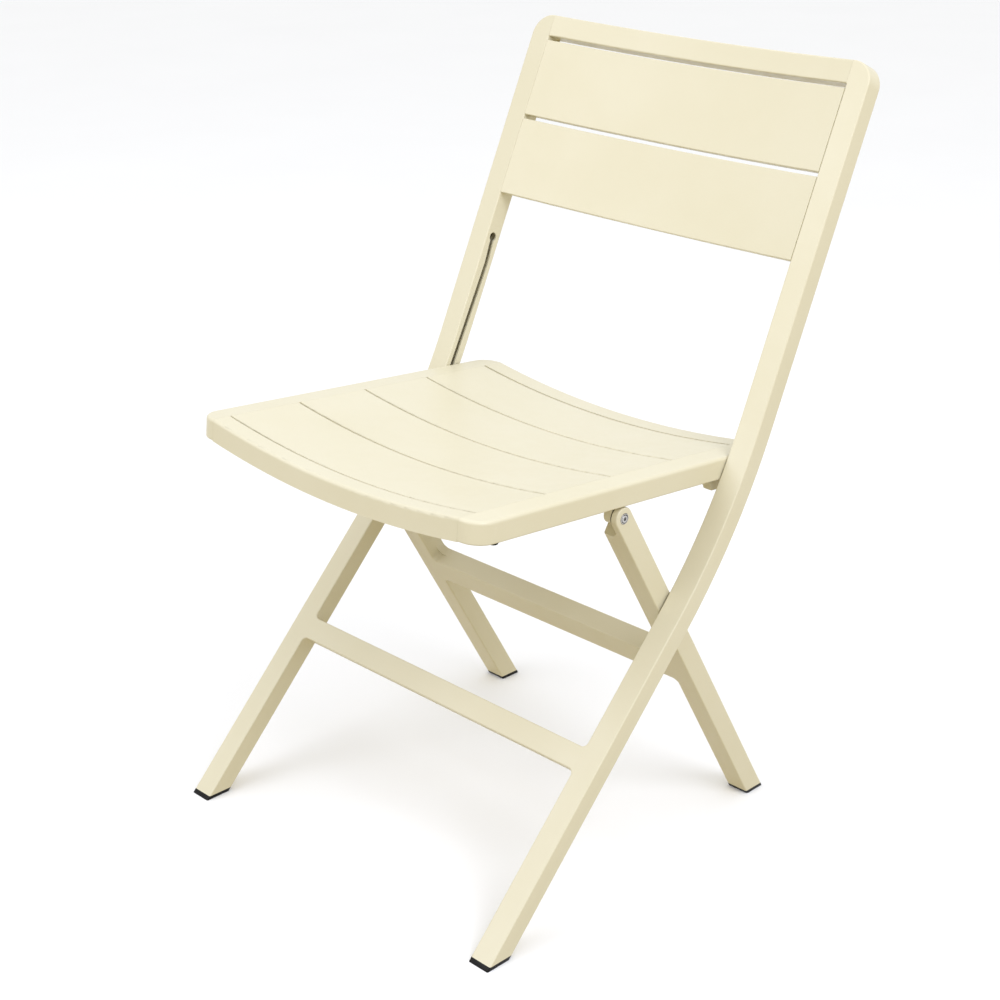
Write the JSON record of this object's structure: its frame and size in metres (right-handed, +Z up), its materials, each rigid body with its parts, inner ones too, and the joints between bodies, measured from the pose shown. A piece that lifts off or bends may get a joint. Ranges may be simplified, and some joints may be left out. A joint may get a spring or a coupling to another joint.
{
  "type": "folding chair",
  "caption": "Folding bistro chair in painted aluminium tube: bent uprights, crossing rear legs, dished slatted seat and back.",
  "frame": {"origin": "on the floor, under the centre of the open chair's bounding box", "axes": "+X to the sitter's left, +Y to the back of the chair, +Z up"},
  "size_m": [0.46, 0.5723, 0.7992],
  "materials": {
    "cream_paint": "satin powder coat",
    "stainless_steel": "turned stainless steel",
    "black_nylon": "matt",
    "black_plastic": "matt",
    "black_rubber": "matt"
  },
  "bodies": {
    "back_frame": {"left_upright": "cream_paint", "right_upright": "cream_paint", "top_rail": "cream_paint", "left_top_corner": "cream_paint", "right_top_corner": "cream_paint", "upper_back_slat": "cream_paint", "lower_back_slat": "cream_paint", "front_stretcher": "cream_paint", "pivot_inserts": "stainless_steel", "pivot_bolts": "stainless_steel", "pivot_washers": "black_nylon", "front_left_foot": "black_plastic", "front_right_foot": "black_plastic"},
    "rear_leg_frame": {"left_rear_leg": "cream_paint", "right_rear_leg": "cream_paint", "rear_stretcher": "cream_paint", "pivot_bushes": "black_nylon", "rear_left_foot": "black_plastic", "rear_right_foot": "black_plastic"},
    "seat": {"seat_left_rail": "cream_paint", "seat_right_rail": "cream_paint", "seat_front_rail": "cream_paint", "seat_rear_rail": "cream_paint", "seat_slat_1": "cream_paint", "seat_slat_2": "cream_paint", "seat_slat_3": "cream_paint", "seat_slat_4": "cream_paint", "left_seat_lug": "cream_paint", "right_seat_lug": "cream_paint", "left_slide_lug": "cream_paint", "right_slide_lug": "cream_paint", "hinge_screws": "stainless_steel", "hinge_washers": "black_nylon", "slide_pins": "stainless_steel", "seat_bumpers": "black_rubber"}
  },
  "joints": [
    {"name": "fold", "type": "hinge", "parent": "back_frame", "child": "rear_leg_frame", "pos_m": [0, 0.00013, 0.28], "axis": [-1, 0, 0], "range_deg": [0, 60]},
    {"name": "seat_tilt", "type": "hinge", "parent": "rear_leg_frame", "child": "seat", "pos_m": [0, -0.0734, 0.39717], "axis": [1, 0, 0], "range_deg": [0, 114.72]}
  ],
  "couplings": [
    {"joint": "seat_tilt", "follows": "fold", "ratio": 1.912}
  ]
}
